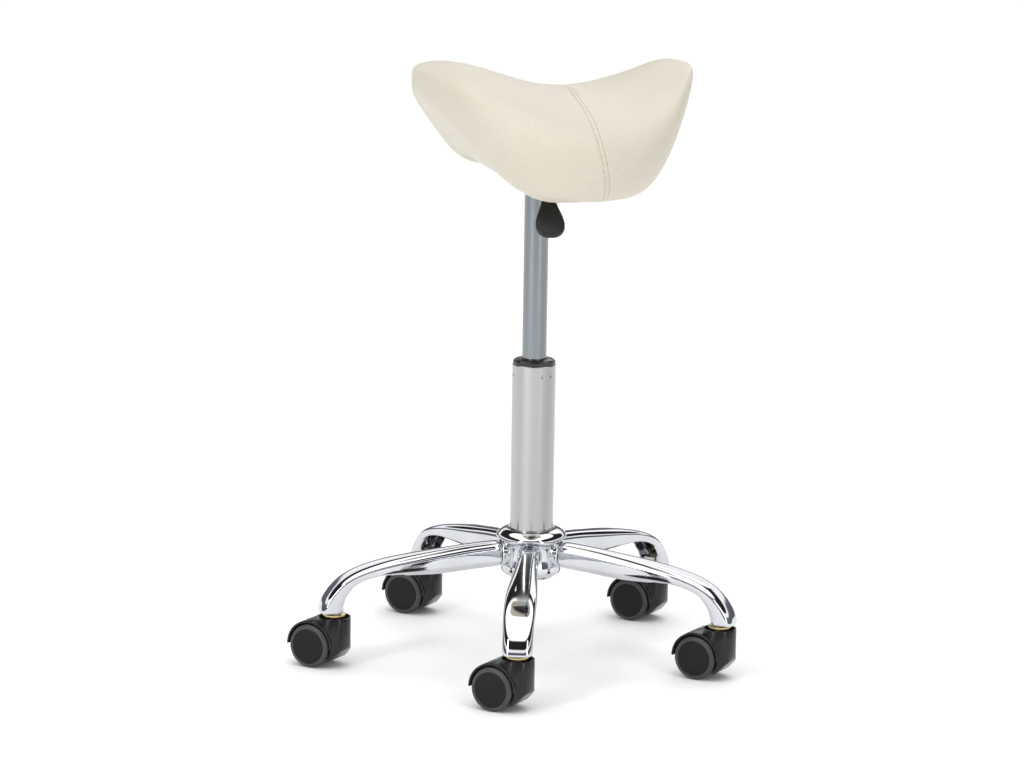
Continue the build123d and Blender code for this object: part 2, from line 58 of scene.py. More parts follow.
# %% Helpers for selecting and finishing
def deselect():
    """Leave edit mode and select nothing."""
    if bpy.context.object and bpy.context.object.mode != "OBJECT":
        bpy.ops.object.mode_set(mode="OBJECT")
    bpy.ops.object.select_all(action="DESELECT")


def only(obj):
    """Make obj the one selected, active object."""
    deselect()
    obj.select_set(True)
    bpy.context.view_layer.objects.active = obj


def editing(obj, mode="VERT"):
    only(obj)
    bpy.ops.object.mode_set(mode="EDIT")
    bpy.ops.mesh.select_mode(type=mode)


def apply_modifier(obj, kind, **values):
    """Add a modifier, set it and apply it."""
    only(obj)
    modifier = obj.modifiers.new(kind.lower(), kind)
    for key, value in values.items():
        setattr(modifier, key, value)
    bpy.ops.object.modifier_apply(modifier=modifier.name)


def clean(obj):
    """Merge doubles and turn all faces outwards."""
    editing(obj)
    bpy.ops.mesh.select_all(action="SELECT")
    bpy.ops.mesh.remove_doubles(threshold=0.02 * MM)
    bpy.ops.mesh.normals_make_consistent(inside=False)
    bpy.ops.object.mode_set(mode="OBJECT")


def finished(obj, name, body, material, replaced=(), smooth=35):
    """Name a piece, apply its place to its mesh, and hand it to the frame."""
    only(obj)
    obj.name = name
    obj.data.name = name
    bpy.ops.object.transform_apply(location=True, rotation=True, scale=True)
    bpy.ops.object.shade_smooth_by_angle(angle=math.radians(smooth))
    obj.data.materials.clear()
    obj.data.materials.append(material)
    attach(obj, body)
    if replaced:
        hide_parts(*replaced)
    print(name, len(obj.data.polygons), "faces on", body)
    return obj


def copied(obj, turn=None):
    """A copy with its own mesh, turned into place."""
    twin = obj.copy()
    twin.data = obj.data.copy()
    bpy.context.collection.objects.link(twin)
    if turn is not None:
        twin.data.transform(turn)
    return twin


def joined(pieces):
    deselect()
    for piece in pieces:
        piece.select_set(True)
    bpy.context.view_layer.objects.active = pieces[0]
    bpy.ops.object.join()
    return bpy.context.object


# %% [markdown]
# ## Finishes
# Real surfaces vary: chrome has faint wipe marks, moulded nylon has a fine texture, and
# leather has grain. Each effect is a node group, built once from noise in the piece's own
# coordinates, and each material uses it with its own values. The shader stays outside.

# %% Node groups
def new_group(name, inputs, outputs):
    group = bpy.data.node_groups.new(name, "ShaderNodeTree")
    for label, value in inputs.items():
        socket = group.interface.new_socket(label, in_out="INPUT", socket_type="NodeSocketFloat")
        socket.default_value = value
    for label in outputs:
        group.interface.new_socket(label, in_out="OUTPUT", socket_type="NodeSocketFloat")
    start = group.nodes.new("NodeGroupInput")
    end = group.nodes.new("NodeGroupOutput")
    return group, start, end


def node(tree, kind, **values):
    made = tree.nodes.new(kind)
    for key, value in values.items():
        setattr(made, key, value)
    return made


def maths(tree, operation, first, second):
    """A Math node fed by sockets or plain numbers."""
    made = node(tree, "ShaderNodeMath", operation=operation)
    for socket, source in zip(made.inputs, (first, second)):
        if isinstance(source, (int, float)):
            socket.default_value = source
        else:
            tree.links.new(source, socket)
    return made.outputs[0]


def noise(tree, vector, scale, detail=3.0, rough=0.55):
    made = node(tree, "ShaderNodeTexNoise")
    made.inputs["Detail"].default_value = detail
    made.inputs["Roughness"].default_value = rough
    tree.links.new(vector, made.inputs["Vector"])
    if isinstance(scale, (int, float)):
        made.inputs["Scale"].default_value = scale
    else:
        tree.links.new(scale, made.inputs["Scale"])
    return made.outputs[0]


def smears_group():
    """Cloudy wipe marks and fine specks, for plated and painted metal."""
    group, start, end = new_group("smears", {"Cloud Scale": 18.0, "Speck Scale": 900.0}, ["Cloud", "Speck"])
    place = node(group, "ShaderNodeTexCoord").outputs["Object"]
    cloud = noise(group, place, start.outputs["Cloud Scale"], 4.0)
    speck = noise(group, place, start.outputs["Speck Scale"], 2.0)
    group.links.new(cloud, end.inputs["Cloud"])
    group.links.new(speck, end.inputs["Speck"])
    return group


def drawn_group():
    """Lines drawn along a tube's length, as bands round its girth."""
    group, start, end = new_group("drawn_lines", {"Bands": 9.0, "Lines": 420.0}, ["Band", "Line"])
    place = node(group, "ShaderNodeTexCoord").outputs["Object"]
    stretch = node(group, "ShaderNodeMapping")
    stretch.inputs["Scale"].default_value = (1.0, 1.0, 0.012)
    group.links.new(place, stretch.inputs["Vector"])
    band = noise(group, stretch.outputs[0], start.outputs["Bands"], 2.0)
    line = noise(group, stretch.outputs[0], start.outputs["Lines"], 3.0)
    group.links.new(band, end.inputs["Band"])
    group.links.new(line, end.inputs["Line"])
    return group


def grain_group():
    """Leather grain: small pebbles with creases between them, uneven in size."""
    inputs = {"Pebbles": 900.0, "Folds": 60.0}
    group, start, end = new_group("leather_grain", inputs, ["Height", "Crease", "Mottle"])
    place = node(group, "ShaderNodeTexCoord").outputs["Object"]
    pebble = node(group, "ShaderNodeTexVoronoi", feature="DISTANCE_TO_EDGE")
    bend = node(group, "ShaderNodeVectorMath", operation="ADD")
    wobble = node(group, "ShaderNodeTexNoise")
    wobble.inputs["Scale"].default_value = 260.0
    shrink = node(group, "ShaderNodeVectorMath", operation="SCALE")
    shrink.inputs["Scale"].default_value = 0.0012
    group.links.new(place, wobble.inputs["Vector"])
    group.links.new(wobble.outputs["Color"], shrink.inputs[0])
    group.links.new(place, bend.inputs[0])
    group.links.new(shrink.outputs[0], bend.inputs[1])
    group.links.new(bend.outputs[0], pebble.inputs["Vector"])
    group.links.new(start.outputs["Pebbles"], pebble.inputs["Scale"])
    crease = maths(group, "MINIMUM", maths(group, "MULTIPLY", pebble.outputs["Distance"], 3.2), 1.0)
    folds = noise(group, place, start.outputs["Folds"], 4.0)
    mottle = noise(group, place, 9.0, 4.0)
    height = maths(group, "ADD", maths(group, "MULTIPLY", crease, 0.7), maths(group, "MULTIPLY", folds, 0.5))
    group.links.new(height, end.inputs["Height"])
    group.links.new(crease, end.inputs["Crease"])
    group.links.new(mottle, end.inputs["Mottle"])
    return group


def texture_group():
    """Fine moulded texture with a little dust in its hollows."""
    group, start, end = new_group("moulded_texture", {"Fine": 1600.0, "Dust Scale": 35.0}, ["Height", "Dust"])
    place = node(group, "ShaderNodeTexCoord").outputs["Object"]
    fine = noise(group, place, start.outputs["Fine"], 2.0)
    dust = noise(group, place, start.outputs["Dust Scale"], 5.0, 0.65)
    group.links.new(fine, end.inputs["Height"])
    group.links.new(dust, end.inputs["Dust"])
    return group


def weave_group():
    """Plain weave or felted fibres for cloth."""
    group, start, end = new_group("cloth_weave", {"Threads": 700.0}, ["Height", "Tone"])
    place = node(group, "ShaderNodeTexCoord").outputs["Object"]
    fibre = noise(group, place, start.outputs["Threads"], 4.0, 0.7)
    tone = noise(group, place, 40.0, 3.0)
    group.links.new(fibre, end.inputs["Height"])
    group.links.new(tone, end.inputs["Tone"])
    return group


SMEARS = smears_group()
DRAWN = drawn_group()
GRAIN = grain_group()
TEXTURE = texture_group()
WEAVE = weave_group()
print("effects", [g.name for g in (SMEARS, DRAWN, GRAIN, TEXTURE, WEAVE)])


# %% Material helpers
def begin(name, metallic, specular=0.5):
    material = bpy.data.materials.new(name)
    material.use_nodes = True
    tree = material.node_tree
    shader = tree.nodes["Principled BSDF"]
    shader.inputs["Metallic"].default_value = metallic
    shader.inputs["Specular IOR Level"].default_value = specular
    return material, tree, shader


def effect(tree, group, **values):
    made = node(tree, "ShaderNodeGroup")
    made.node_tree = group
    for label, value in values.items():
        made.inputs[label.replace("_", " ")].default_value = value
    return made


def between(tree, factor, low, high):
    """Turn a 0 to 1 factor into the range low to high."""
    made = node(tree, "ShaderNodeMapRange")
    made.inputs["From Min"].default_value = 0.3
    made.inputs["From Max"].default_value = 0.7
    made.inputs["To Min"].default_value = low
    made.inputs["To Max"].default_value = high
    tree.links.new(factor, made.inputs["Value"])
    return made.outputs[0]


def tinted(tree, factor, dark, light):
    """Mix two colours by a factor spread over its middle range."""
    ramp = node(tree, "ShaderNodeValToRGB")
    ramp.color_ramp.elements[0].position = 0.3
    ramp.color_ramp.elements[1].position = 0.7
    ramp.color_ramp.elements[0].color = (*dark, 1)
    ramp.color_ramp.elements[1].color = (*light, 1)
    tree.links.new(factor, ramp.inputs[0])
    return ramp.outputs[0]


def bumped(tree, shader, height, strength, distance):
    bump = node(tree, "ShaderNodeBump")
    bump.inputs["Strength"].default_value = strength
    bump.inputs["Distance"].default_value = distance
    tree.links.new(height, bump.inputs["Height"])
    tree.links.new(bump.outputs[0], shader.inputs["Normal"])


def plated(name, dark, light, rough_low, rough_high):
    """Plated or polished metal with faint wipe marks."""
    material, tree, shader = begin(name, 1.0)
    marks = effect(tree, SMEARS)
    tree.links.new(tinted(tree, marks.outputs["Cloud"], dark, light), shader.inputs["Base Color"])
    tree.links.new(between(tree, marks.outputs["Cloud"], rough_low, rough_high), shader.inputs["Roughness"])
    bumped(tree, shader, marks.outputs["Speck"], 0.03, 0.0002)
    return material


def drawn_steel(name, dark, light, rough_low, rough_high, bands):
    """Steel tube with satin bands along its length."""
    material, tree, shader = begin(name, 1.0)
    marks = effect(tree, DRAWN, Bands=bands)
    tree.links.new(tinted(tree, marks.outputs["Band"], dark, light), shader.inputs["Base Color"])
    tree.links.new(between(tree, marks.outputs["Line"], rough_low, rough_high), shader.inputs["Roughness"])
    shader.inputs["Anisotropic"].default_value = 0.4
    bumped(tree, shader, marks.outputs["Line"], 0.06, 0.0002)
    return material


def moulded(name, dark, light, rough_low, rough_high, bump=0.08, fine=1600.0, specular=0.5):
    """Moulded plastic or rubber with a fine texture."""
    material, tree, shader = begin(name, 0.0, specular)
    marks = effect(tree, TEXTURE, Fine=fine)
    tree.links.new(tinted(tree, marks.outputs["Dust"], dark, light), shader.inputs["Base Color"])
    tree.links.new(between(tree, marks.outputs["Dust"], rough_low, rough_high), shader.inputs["Roughness"])
    bumped(tree, shader, marks.outputs["Height"], bump, 0.0003)
    return material


def leather(name, crease_shade, dark, light):
    """Synthetic leather: grain in the bump, painted shade in the grain's creases, mottled tone, soft sheen.
    """
    material, tree, shader = begin(name, 0.0, 0.42)
    marks = effect(tree, GRAIN)
    tone = tinted(tree, marks.outputs["Mottle"], dark, light)
    mix = node(tree, "ShaderNodeMix", data_type="RGBA")
    # Painted shade: the first colour darkens the base colour in the grain's creases.
    mix.inputs["A"].default_value = (*crease_shade, 1)
    tree.links.new(between(tree, marks.outputs["Crease"], 0.55, 1.0), mix.inputs["Factor"])
    tree.links.new(tone, mix.inputs["B"])
    tree.links.new(mix.outputs["Result"], shader.inputs["Base Color"])
    tree.links.new(between(tree, marks.outputs["Mottle"], 0.44, 0.54), shader.inputs["Roughness"])
    shader.inputs["Sheen Weight"].default_value = 0.08
    bumped(tree, shader, marks.outputs["Height"], 0.22, 0.0004)
    return material


def cloth(name, dark, light, threads=700.0):
    material, tree, shader = begin(name, 0.0, 0.3)
    marks = effect(tree, WEAVE, Threads=threads)
    tree.links.new(tinted(tree, marks.outputs["Tone"], dark, light), shader.inputs["Base Color"])
    shader.inputs["Roughness"].default_value = 0.9
    bumped(tree, shader, marks.outputs["Height"], 0.4, 0.0006)
    return material


# %% [markdown]
# ## The stool's own finishes
# Mirror chrome on the base, satin drawn steel on the column, glossy nylon hoods over matte
# wheels, a grey tread, and cream leather on the seat.

# %% Materials
CHROME = plated("mirror_chrome", (0.58, 0.59, 0.62), (0.66, 0.67, 0.70), 0.03, 0.07)
ZINC = plated("bright_zinc", (0.52, 0.52, 0.51), (0.64, 0.64, 0.63), 0.22, 0.36)
YELLOW_ZINC = plated("yellow_zinc", (0.60, 0.47, 0.20), (0.74, 0.62, 0.33), 0.2, 0.34)
BEARING = plated("ground_steel", (0.42, 0.42, 0.43), (0.52, 0.52, 0.53), 0.16, 0.28)
BRASS = plated("pressed_brass", (0.55, 0.42, 0.18), (0.68, 0.53, 0.26), 0.22, 0.34)
COLUMN = drawn_steel("satin_column", (0.36, 0.365, 0.355), (0.50, 0.51, 0.50), 0.16, 0.24, 60.0)
CYLINDER = drawn_steel("dark_cylinder", (0.20, 0.22, 0.235), (0.28, 0.305, 0.325), 0.13, 0.2, 90.0)
BLACK_PAINT = moulded("black_powder_coat", (0.02, 0.02, 0.021), (0.035, 0.035, 0.037), 0.42, 0.55, 0.2)
HOOD = moulded("glossy_nylon", (0.008, 0.008, 0.009), (0.014, 0.014, 0.015), 0.16, 0.28, 0.04, specular=0.34)
WHEEL = moulded("matte_nylon", (0.006, 0.006, 0.007), (0.011, 0.011, 0.012), 0.46, 0.58, 0.1, specular=0.22)
TYRE = moulded("grey_tread", (0.034, 0.036, 0.038), (0.055, 0.058, 0.062), 0.34, 0.46, 0.12, specular=0.4)
GRIP = moulded("black_grip", (0.012, 0.012, 0.013), (0.018, 0.018, 0.019), 0.34, 0.46, 0.14, specular=0.3)
GUIDE = moulded("black_guide", (0.012, 0.012, 0.012), (0.025, 0.025, 0.025), 0.25, 0.4, 0.06)
GUIDE_CAP = moulded("pale_cap", (0.50, 0.51, 0.50), (0.62, 0.63, 0.62), 0.16, 0.26, 0.04)
BOARD = moulded("moulded_board", (0.03, 0.03, 0.03), (0.05, 0.05, 0.05), 0.5, 0.62, 0.2)
RUBBER = moulded("damper_rubber", (0.015, 0.015, 0.015), (0.03, 0.03, 0.03), 0.6, 0.75, 0.2)
FOAM = cloth("moulded_foam", (0.62, 0.56, 0.40), (0.74, 0.68, 0.52), 500.0)
# The leather's first colour is painted shade, laid into the grain's creases.
LEATHER = leather("cream_leather", (0.48, 0.42, 0.30), (0.645, 0.61, 0.52), (0.685, 0.655, 0.57))
THREAD = cloth("cream_thread", (0.44, 0.38, 0.28), (0.54, 0.48, 0.37), 2600.0)
UNDER_CLOTH = cloth("black_undercloth", (0.012, 0.012, 0.012), (0.03, 0.03, 0.03), 900.0)
print("materials", len(bpy.data.materials))

# %% [markdown]
# ## Finishes on the carried-over nodes
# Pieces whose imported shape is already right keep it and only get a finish.

# %% Paint the nodes
BY_NAME = {
    "hub": CHROME, "caster_sockets": ZINC, "caster_stems": YELLOW_ZINC, "outer_tube": COLUMN,
    "top_guide_bush": GUIDE, "thrust_race_lower": BEARING, "thrust_cage": BRASS,
    "thrust_balls": BEARING, "thrust_race_upper": BEARING, "damper_ring": RUBBER,
    "retaining_clip": BEARING, "piston_rod": BEARING, "gas_cylinder": CYLINDER,
    "valve_pin": BEARING, "seat_plate": BLACK_PAINT, "plate_screws": ZINC, "tee_nuts": ZINC,
    "seat_board": BOARD, "seat_foam": FOAM, "rear_cover": LEATHER, "front_cover": LEATHER,
    "lever_pin": ZINC, "lever_rod": BLACK_PAINT,
    "lever_paddle": GRIP,
}
BY_ENDING = {
    "_housing": HOOD, "_axle": ZINC, "_rim": WHEEL, "_tyre": TYRE,
}
for name, obj in nodes.items():
    finish = BY_NAME.get(name)
    for ending, candidate in BY_ENDING.items():
        if name.endswith(ending):
            finish = candidate
    if name.startswith("leg_"):
        finish = CHROME
    for slot in obj.material_slots:
        slot.material = finish
print("painted", len(nodes), "nodes")

# %% [markdown]
# ## Legs
# Each leg is pressed from sheet: a closed oval where it enters the hub, and from its middle
# a channel that is open underneath and turns down over the caster's stem. A rounded
# rectangle is extruded from ring to ring along the leg. Every ring is turned upright, sized,
# turned to its own tilt and moved, which keeps the section clean. The faces under the
# channel are then deleted and Solidify gives the sheet its thickness.

# %% A ring that is carried along a piece
def ring_start(centre, high, wide, corner, segments):
    """A rounded rectangle in the YZ plane, as edges only."""
    deselect()
    bpy.ops.mesh.primitive_plane_add(size=2, rotation=(0, math.pi / 2, 0))
    obj = bpy.context.active_object
    bpy.ops.object.transform_apply(location=True, rotation=True, scale=True)
    bpy.ops.object.mode_set(mode="EDIT")
    bpy.ops.mesh.select_all(action="SELECT")
    bpy.ops.mesh.bevel(affect="VERTICES", offset=corner, segments=segments)
    bpy.ops.mesh.select_all(action="SELECT")
    bpy.ops.mesh.delete(type="ONLY_FACE")
    bpy.ops.mesh.select_all(action="SELECT")
    bpy.ops.transform.resize(value=(1, wide, high), center_override=(0, 0, 0))
    bpy.ops.transform.translate(value=centre)
    return obj


def turn_about_y(angle, centre):
    """Turn the selection; with no window the operator turns the other way."""
    if abs(angle) > 1e-9:
        bpy.ops.transform.rotate(value=-angle, orient_axis="Y", center_override=centre)


def ring_next(last, new):
    """Extrude the selected ring from (centre, tilt, high, wide) to the next one."""
    centre, tilt, high, wide = last
    bpy.ops.mesh.extrude_edges_move()
    turn_about_y(-tilt, centre)
    bpy.ops.transform.resize(value=(1, new[3] / wide, new[2] / high), center_override=centre)
    turn_about_y(new[1], centre)
    bpy.ops.transform.translate(value=Vector(new[0]) - Vector(centre))


def ring_piece(rings, corner=0.7, segments=5):
    """A piece through all the rings, closed at both ends."""
    first = rings[0]
    obj = ring_start(first[0], first[2], first[3], corner, segments)
    turn_about_y(first[1], first[0])
    bpy.ops.mesh.edge_face_add()
    for last, new in zip(rings, rings[1:]):
        ring_next(last, new)
    bpy.ops.mesh.edge_face_add()
    bpy.ops.object.mode_set(mode="OBJECT")
    clean(obj)
    return obj


# %% The leg
LEG_TOP = [
    (29, 139.6), (50, 138.2), (73, 136.3), (92, 134.2), (111, 131.8), (134, 128.9), (157, 125.4),
    (174, 122.2), (190, 118), (203, 113.8), (214, 109), (225, 102.3), (234.5, 93.5), (241.8, 84.2),
    (246.8, 75.5), (250, 64.5),
]
LEG_LOW = [
    (29, 110.6), (50, 109.2), (73, 107.4), (90, 105.6), (107, 104.2), (130, 104.2), (153, 104.6),
    (169, 104.2), (184, 103), (194, 100.8), (203, 97.6), (209.4, 93.2), (214.5, 87.5),
    (218.4, 80.8), (221, 74), (223, 64.5),
]
LEG_HALF_WIDTH = [11.9, 12.1, 12.5, 13.2, 14.3, 15.7, 17, 17.7, 18, 18, 17.9, 17.7, 17.4, 17.1, 16.9, 16.8]
CHANNEL_START = 152 * MM
SHEET = 2.2 * MM


def leg_rings():
    rings = []
    for top, low, half in zip(LEG_TOP, LEG_LOW, LEG_HALF_WIDTH):
        top, low = Vector((top[0], 0, top[1])) * MM, Vector((low[0], 0, low[1])) * MM
        rise = (top - low) / 2
        rings.append((tuple((top + low) / 2), math.atan2(rise.x, rise.z), rise.length, half * MM))
    return rings


def low_side_faces(obj):
    """Select the faces that the channel leaves open, those on the leg's low side."""
    mesh = bmesh.from_edit_mesh(obj.data)
    for face in mesh.faces:
        middle = face.calc_center_median()
        radius = middle.x
        face.select = False
        if radius < CHANNEL_START:
            continue
        inward = Vector((-0.55, 0, -0.83)) if radius > 200 * MM else Vector((-0.1, 0, -1))
        closing = face.normal.z < -0.99 and middle.z < 66 * MM
        face.select = closing or face.normal.dot(inward.normalized()) > 0.72
    bmesh.update_edit_mesh(obj.data)


leg = ring_piece(leg_rings(), corner=0.62, segments=5)
editing(leg, "FACE")
low_side_faces(leg)
bpy.ops.mesh.delete(type="FACE")
bpy.ops.object.mode_set(mode="OBJECT")
apply_modifier(leg, "SOLIDIFY", thickness=SHEET, offset=-1.0)
apply_modifier(leg, "SUBSURF", levels=2, render_levels=2)
for number in range(1, LEG_COUNT + 1):
    angle = math.radians(FIRST_LEG_ANGLE + 360 / LEG_COUNT * (number - 1))
    piece = copied(leg, Matrix.Rotation(angle, 4, "Z"))
    finished(piece, f"pressed_leg_{number}", "base", CHROME, [f"leg_{number}"], 60)
bpy.data.objects.remove(leg)

# %% [markdown]
# ## Hub
# The boss is turned round the column's axis: a profile is drawn vertex by vertex and spun.
# Its lip has five shallow waves in its lower edge, in step with the legs, and a slim oval
# collar lies round every leg's root.

# %% Turned pieces
def spun(points, steps=72, centre=(0, 0, 0), axis=(0, 0, 1)):
    """Draw a closed profile from (x, z) points in millimetres and spin it."""
    deselect()
    bpy.ops.mesh.primitive_plane_add(size=0.001)
    obj = bpy.context.active_object
    bpy.ops.object.mode_set(mode="EDIT")
    bpy.ops.mesh.select_all(action="SELECT")
    bpy.ops.mesh.merge(type="CENTER")
    bpy.ops.mesh.select_all(action="SELECT")
    places = [Vector((x, 0, z)) * MM for x, z in points]
    bpy.ops.transform.translate(value=places[0])
    for last, new in zip(places, places[1:] + places[:1]):
        bpy.ops.mesh.extrude_vertices_move(TRANSFORM_OT_translate={"value": new - last})
    bpy.ops.mesh.select_all(action="SELECT")
    bpy.ops.mesh.remove_doubles(threshold=0.002 * MM)
    bpy.ops.mesh.select_all(action="SELECT")
    bpy.ops.mesh.spin(steps=steps, angle=2 * math.pi, center=centre, axis=axis)
    bpy.ops.object.mode_set(mode="OBJECT")
    clean(obj)
    return obj


HUB_PROFILE = [
    (25.1, 99.2), (29.6, 99.0), (31.8, 100.2), (33.8, 102.6), (34.6, 105.6), (34.0, 111), (32.6, 118),
    (32.0, 125), (32.1, 131), (32.8, 136.0), (34.6, 139.0), (37.0, 140.2), (39.2, 140.7), (40.4, 141.6),
    (40.8, 143.0), (40.4, 144.8), (39.0, 147.2), (36.6, 149.6), (33.6, 151.4), (30.2, 152.6),
    (27.8, 152.9), (26.2, 152.5), (25.1, 151.0),
]
WAVE = 1.3 * MM
LIP_LOW, LIP_HIGH, LIP_INNER = 138 * MM, 146 * MM, 34.0 * MM
LEG_AXIS = 124.8 * MM

hub = spun(HUB_PROFILE, steps=90)
for vertex in hub.data.vertices:
    radius = math.hypot(vertex.co.x, vertex.co.y)
    angle = math.atan2(vertex.co.y, vertex.co.x) - math.radians(FIRST_LEG_ANGLE)
    if LIP_LOW < vertex.co.z < LIP_HIGH and radius > LIP_INNER:
        vertex.co.z += WAVE * math.cos(LEG_COUNT * angle)
collars = [hub]
COLLAR_PROFILE = [
    (29, 108.6), (33.0, 108.6), (34.6, 109.0), (35.9, 109.5), (36.5, 110.1), (36.2, 110.8), (29, 110.9),
]
COLLAR_SLIM = 0.87
for number in range(LEG_COUNT):
    collar = spun(COLLAR_PROFILE, steps=48, centre=(0, 0, LEG_AXIS), axis=(1, 0, 0))
    collar.data.transform(Matrix.Diagonal((1, COLLAR_SLIM, 1, 1)))
    collar.data.transform(Matrix.Rotation(math.radians(FIRST_LEG_ANGLE + 72 * number), 4, "Z"))
    collars.append(collar)
hub = joined(collars)
finished(hub, "chrome_hub", "base", CHROME, ["hub"], 50)

# %% [markdown]
# ## Guide cap
# The column's guide ends in a low, pale domed cap inside its black band. It is turned like
# the hub, as a ring round the cylinder.

# %% Guide cap
CAP_PROFILE = [
    (14.15, 348.2), (22.8, 348.2), (23.1, 348.8), (22.4, 349.7), (20.8, 350.4), (18.4, 350.9), (16.2, 351.0),
    (14.8, 350.8), (14.3, 350.3),
]
cap = spun(CAP_PROFILE, steps=72)
finished(cap, "guide_cap", "base", GUIDE_CAP, smooth=50)

# %% [markdown]
# ## Lever grip
# The grip is a flat moulded paddle on the drooping rod: a narrow neck that swells to a
# rounded blade. It is extruded ring by ring like the legs, then subdivided.

# %% Lever grip
LEVER_ANGLE = math.radians(171)
GRIP_END = Vector((160, 0, 516)) * MM
GRIP_SLOPE = Vector((160 - 76.5, 0, 516 - 598.5)).normalized()
GRIP_SECTIONS = [
    (72, 4.6, 6.0), (71, 5.1, 6.9), (62, 5.3, 7.2), (50, 5.4, 7.6), (40, 5.5, 10.0), (30, 5.6, 13.6),
    (22, 5.6, 15.9), (15, 5.5, 16.4), (9, 5.2, 15.4), (4.5, 4.6, 12.4), (1.6, 3.5, 8.4), (0.3, 2.0, 4.2),
]
tilt = math.atan2(GRIP_SLOPE.x, GRIP_SLOPE.z) - math.pi / 2
rings = []
for back, high, wide in GRIP_SECTIONS:
    rings.append((tuple(GRIP_END - GRIP_SLOPE * back * MM), tilt, high * MM, wide * MM))
grip = ring_piece(rings, corner=0.62, segments=4)
apply_modifier(grip, "SUBSURF", levels=2, render_levels=2)
grip.data.transform(Matrix.Rotation(LEVER_ANGLE, 4, "Z"))
finished(grip, "lever_grip", "lever", GRIP, ["lever_paddle"], 60)

# %% [markdown]
# ## Softened edges
# Moulded and pressed pieces have no knife edges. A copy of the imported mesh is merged, its
# flat faces are joined up, and its edges are bevelled, so that every rim catches the light.

# %% Bevelled copies
def softened(source, name, body, material, width):
    obj = copied(nodes[source])
    obj.parent = None
    only(obj)
    clean(obj)
    apply_modifier(obj, "DECIMATE", decimate_type="DISSOLVE", angle_limit=math.radians(1.5))
    apply_modifier(
        obj, "BEVEL", width=width * MM, segments=2, limit_method="ANGLE",
        angle_limit=math.radians(40), use_clamp_overlap=True, harden_normals=False,
    )
    finished(obj, name, body, material, [source], 40)
    return obj


for number in range(1, LEG_COUNT + 1):
    body = f"caster_{number}"
    softened(f"{body}_housing", f"{body}_hood", body, HOOD, 0.5)
softened("seat_plate", "pressed_plate", "seat", BLACK_PAINT, 0.6)

# %% [markdown]
# ## The saddle cushion
# The seat is moulded foam under two sewn panels. It arches across like a saddle, dips ahead
# of the column and rises to a ridge at the front and the back. A sphere with its poles at
# front and rear has just the right grid: every ring becomes a section across the seat, and
# every section is one smooth closed curve through the crown, the rolled edges and the
# underside, which is hollow over the column and closes towards both ends. More rings lie
# beside the seam, where the shape is finest.

# %% Sections of the cushion
MIDDLE = 14.0
HALF_LENGTH = 158.0
HALF_WIDTH = 184.0
LOW_Z, LOW_AT = 659.5, 38.4
REAR_RISE, REAR_AT = 31.9, 154.5
FRONT_RISE, FRONT_AT = 32.1, 157.5
EDGE_LOW = 580.7
REAR_EDGE = (0.2, 1.19, 81.7)
FRONT_EDGE = (0.1, 2.0, 103.5)
ROLL = 27.0
THICKNESS = 44.0
SEAM_AT = 34.0
ARCH_POWER = 0.68
REAR_NOSE, FRONT_NOSE = 9.0, 2.5
OUTER_ANGLES = [-90, -64, -40, -20, 0, 20, 40, 64, 90]
INNER_ANGLES = [75, 45, 15, -15, -45, -75]


def seat_half_width(place):
    power = 0.62 if place < 0 else 0.47
    return HALF_WIDTH * max(0.0, 1 - abs(place) ** 1.9) ** power * (1 - 0.1 * place)


def crown(forward):
    """Height of the saddle's centre line."""
    if forward < LOW_AT:
        share = min(1.0, (LOW_AT - forward) / REAR_AT)
        return LOW_Z + REAR_RISE * (1 - math.cos(math.pi * share)) / 2
    share = min(1.0, (forward - LOW_AT) / FRONT_AT)
    return LOW_Z + FRONT_RISE * (1 - math.cos(math.pi * share)) / 2


def edge_line(place):
    """Height of the widest line of the rim."""
    start, power, rise = REAR_EDGE if place < 0 else FRONT_EDGE
    share = max(0.0, (abs(place) - start) / (1 - start)) ** power
    return EDGE_LOW + rise * (1 - math.cos(math.pi * share)) / 2


def arch(angle, half, low, high):
    angle = math.radians(angle)
    return half * math.sin(angle), low + (high - low) * abs(math.cos(angle)) ** ARCH_POWER


def hollow_share(place):
    """1 where the underside is hollow, falling to 0 where the ends are closed."""
    closed_at, over = (0.50, 0.24) if place < 0 else (0.97, 0.27)
    share = min(1.0, max(0.0, (closed_at - abs(place)) / over))
    return share * share * (3 - 2 * share)


def section_points(place):
    """The points that one section's curve runs through, as (x, z) in millimetres."""
    forward = MIDDLE + HALF_LENGTH * place
    slim = (1 - abs(place) ** (8 if place < 0 else 14)) ** 0.5
    nose = (1 - slim) * (REAR_NOSE if place < 0 else FRONT_NOSE)
    half, edge = seat_half_width(place), edge_line(place) + nose
    top = crown(forward) - nose
    roll = ROLL * slim
    inner = max(half - 2 * roll, half * 0.55)
    share = hollow_share(place)
    base = edge - 4.0 * slim - (1 - share) * roll * 0.75
    hollow = base + max(0.0, top - THICKNESS * slim - base) * share
    points = [arch(a, half, edge, top) for a in OUTER_ANGLES]
    points.append((half - roll, edge - roll))
    points += [arch(a, inner, base, hollow) for a in INNER_ANGLES]
    points.append((roll - half, edge - roll))
    return np.array(points)


